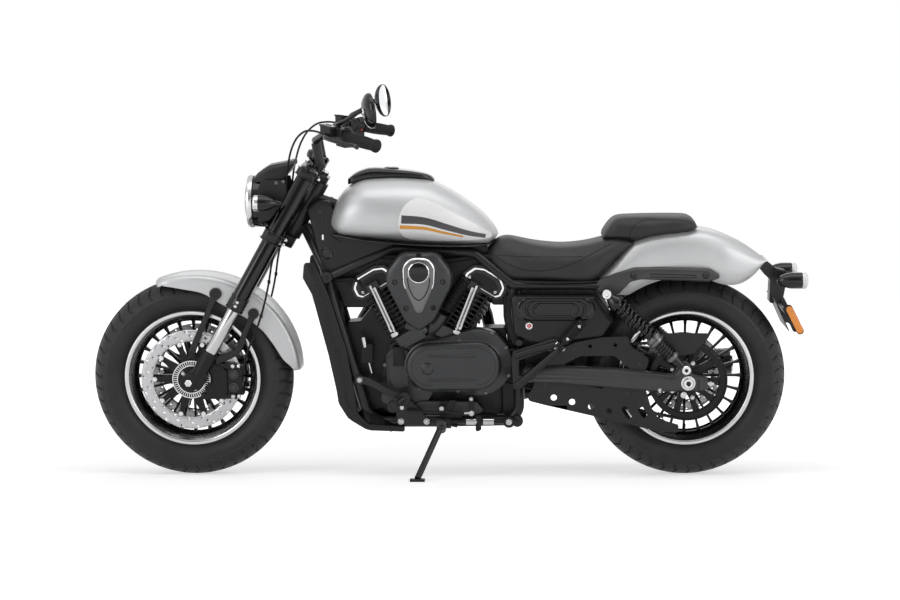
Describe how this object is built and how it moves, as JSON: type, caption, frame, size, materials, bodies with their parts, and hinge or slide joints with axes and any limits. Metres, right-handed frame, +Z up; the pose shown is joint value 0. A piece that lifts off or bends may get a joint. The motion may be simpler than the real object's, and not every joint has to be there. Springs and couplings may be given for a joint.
{
  "type": "cruiser motorcycle",
  "caption": "Cruiser motorcycle with a vee-twin engine, belt drive and cast wheels, leaning on its side stand",
  "frame": {"origin": "on the floor, under the middle of the box round the parked machine", "axes": "+X to the rear, +Y to the machine's right, +Z up; the front wheel points to -X"},
  "size_m": [2.2747, 0.7896, 1.278],
  "materials": {
    "tyre": "moulded rubber with tread",
    "rim_black": "black cast wheel, lips machined bright",
    "disc_steel": "ground steel",
    "frame_black": "satin black",
    "chrome": "polished",
    "silver_paint": "satin silver",
    "engine_black": "satin black cast aluminium",
    "engine_grey": "dark grey satin casting",
    "black_plastic": "fine-grained",
    "gloss_black": "gloss black",
    "seat_leather": "grained vinyl leather, sewn seams",
    "lens_clear": "clear lens",
    "mirror_silver": "mirror glass",
    "rubber": "moulded rubber",
    "orange_reflector": "orange reflector"
  },
  "bodies": {
    "root": {"frame": "frame_black", "head_side_covers": "black_plastic", "radiator": "engine_black", "radiator_shroud": "black_plastic", "crankcase": "engine_black", "cylinders": "engine_black", "rocker_covers": "engine_black", "primary_cover": "engine_grey", "right_engine_cover": "engine_grey", "air_cleaner": "engine_grey", "pushrod_tubes": "chrome", "exhaust": "frame_black", "fuel_tank": "silver_paint", "tank_console": "gloss_black", "rider_seat": "seat_leather", "rear_fender": "silver_paint", "pillion_seat": "seat_leather", "side_covers": "black_plastic", "fender_struts": "frame_black", "tail_bracket": "black_plastic", "rear_indicators": "black_plastic", "reflectors": "orange_reflector", "swingarm": "frame_black", "rear_axle_and_pivot": "chrome", "shock_absorbers": "frame_black", "shock_springs": "gloss_black", "drive_belt": "rubber", "belt_guards": "black_plastic", "rear_caliper": "frame_black", "foot_controls": "frame_black", "passenger_peg_brackets": "frame_black"},
    "front_wheel": {"front_tyre": "tyre", "front_rim": "rim_black", "front_brake_discs": "disc_steel"},
    "rear_wheel": {"rear_tyre": "tyre", "rear_rim": "rim_black", "rear_brake_disc": "disc_steel", "rear_pulley": "engine_black"},
    "side_stand": {"side_stand_leg": "frame_black"},
    "passenger_peg_left_body": {"passenger_peg_left": "rubber"},
    "passenger_peg_right_body": {"passenger_peg_right": "rubber"},
    "steering": {"fork_outer_tubes": "frame_black", "fork_inner_tubes": "chrome", "fork_bottoms": "frame_black", "fork_clamps": "frame_black", "front_axle": "chrome", "front_fender": "silver_paint", "front_calipers": "frame_black", "headlight_shell": "gloss_black", "headlight_lens": "lens_clear", "headlight_cowl": "black_plastic", "front_indicators": "black_plastic", "handlebar": "frame_black", "hand_controls": "frame_black", "grips": "rubber", "mirrors": "black_plastic", "mirror_glass": "mirror_silver", "gauge": "gloss_black", "brake_hoses": "rubber", "control_cables": "rubber"}
  },
  "joints": [
    {"name": "steering_turn", "type": "hinge", "parent": "root", "child": "steering", "pos_m": [-0.50041, 0.04304, 0.77183], "axis": [0.4848, -0.1217, 0.8661], "range_deg": [-35, 35]},
    {"name": "front_wheel_spin", "type": "hinge", "parent": "steering", "child": "front_wheel", "pos_m": [-0.81758, 0.10689, 0.31755], "axis": [0, 0.9903, 0.1392], "continuous": true},
    {"name": "rear_wheel_spin", "type": "hinge", "parent": "root", "child": "rear_wheel", "pos_m": [0.76242, 0.10661, 0.31953], "axis": [0, 0.9903, 0.1392], "continuous": true},
    {"name": "side_stand_swing", "type": "hinge", "parent": "root", "child": "side_stand", "pos_m": [-0.01758, -0.02286, 0.16298], "axis": [0, 0.8334, -0.5527], "range_deg": [-99, 0]},
    {"name": "left_peg_fold", "type": "hinge", "parent": "root", "child": "passenger_peg_left_body", "pos_m": [0.35642, -0.08692, 0.41755], "axis": [0.7363, 0.0942, -0.67], "range_deg": [0, 90]},
    {"name": "right_peg_fold", "type": "hinge", "parent": "root", "child": "passenger_peg_right_body", "pos_m": [0.35642, 0.26562, 0.46709], "axis": [0.7363, 0.0942, -0.67], "range_deg": [-90, 0]}
  ]
}
